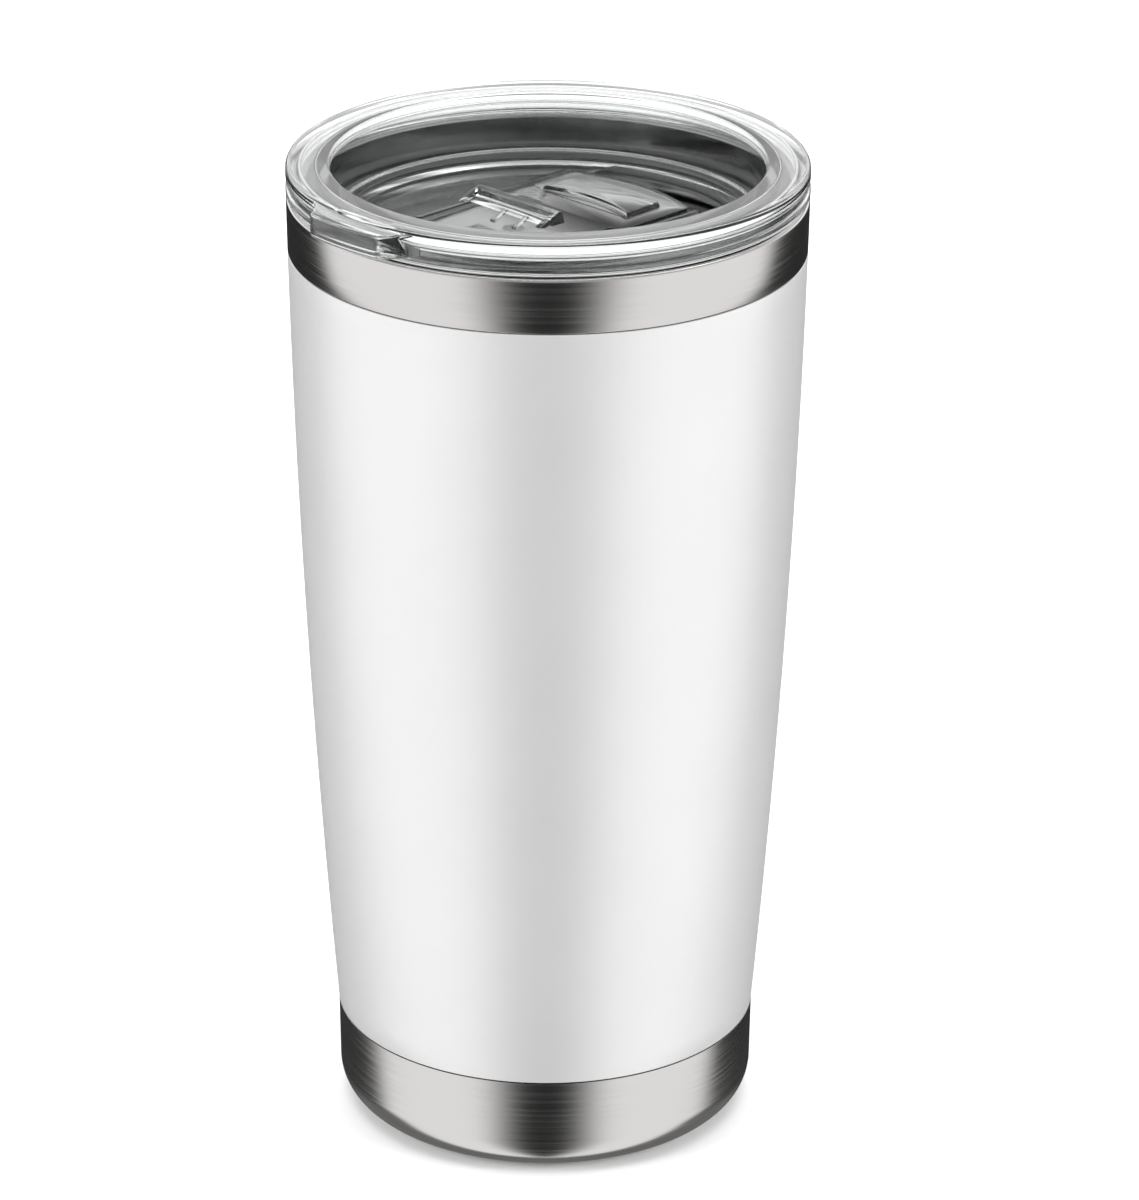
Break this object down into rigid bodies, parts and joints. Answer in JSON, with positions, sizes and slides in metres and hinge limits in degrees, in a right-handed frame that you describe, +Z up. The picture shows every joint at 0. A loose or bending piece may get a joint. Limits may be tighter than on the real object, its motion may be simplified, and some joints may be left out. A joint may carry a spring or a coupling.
{
  "type": "insulated tumbler with lid",
  "caption": "Double-walled steel tumbler with a white coating, bare steel bands and a clear push-in lid with a slider over the drink opening.",
  "frame": {"origin": "centre of the flat ring that the cup stands on", "axes": "+Z up along the cup's axis; the drink opening lies between +X and +Y, and the pull tab opposite it"},
  "size_m": [0.087, 0.087, 0.171],
  "materials": {
    "steel": "polished stainless steel with fine turning marks",
    "coat": "white powder coat, satin, finely textured",
    "liner_steel": "electropolished stainless steel",
    "copper": "thin copper foil",
    "getter": "pressed grey metal powder",
    "bead": "dark solder glass",
    "clear": "clear colourless plastic, polished",
    "silicone": "translucent silicone"
  },
  "bodies": {
    "cup": {"outer_shell": "steel", "powder_coat": "coat", "inner_liner": "liner_steel", "liner_bottom": "liner_steel", "copper_wrap": "copper", "vacuum_bottom": "liner_steel", "getter_clip": "liner_steel", "getter_pill": "getter", "seal_bead": "bead", "base_cap": "steel"},
    "lid": {"lid_body": "clear", "lid_gasket": "silicone"},
    "slider": {"slider": "clear", "slider_seal": "silicone", "slider_clip": "clear"}
  },
  "joints": [
    {"name": "lid_lift", "type": "slide", "parent": "cup", "child": "lid", "axis": [0, 0, 1], "range_m": [0, 0.06]},
    {"name": "slider_slide", "type": "slide", "parent": "lid", "child": "slider", "axis": [0.7071, 0.7071, 0], "range_m": [0, 0.0115]}
  ]
}
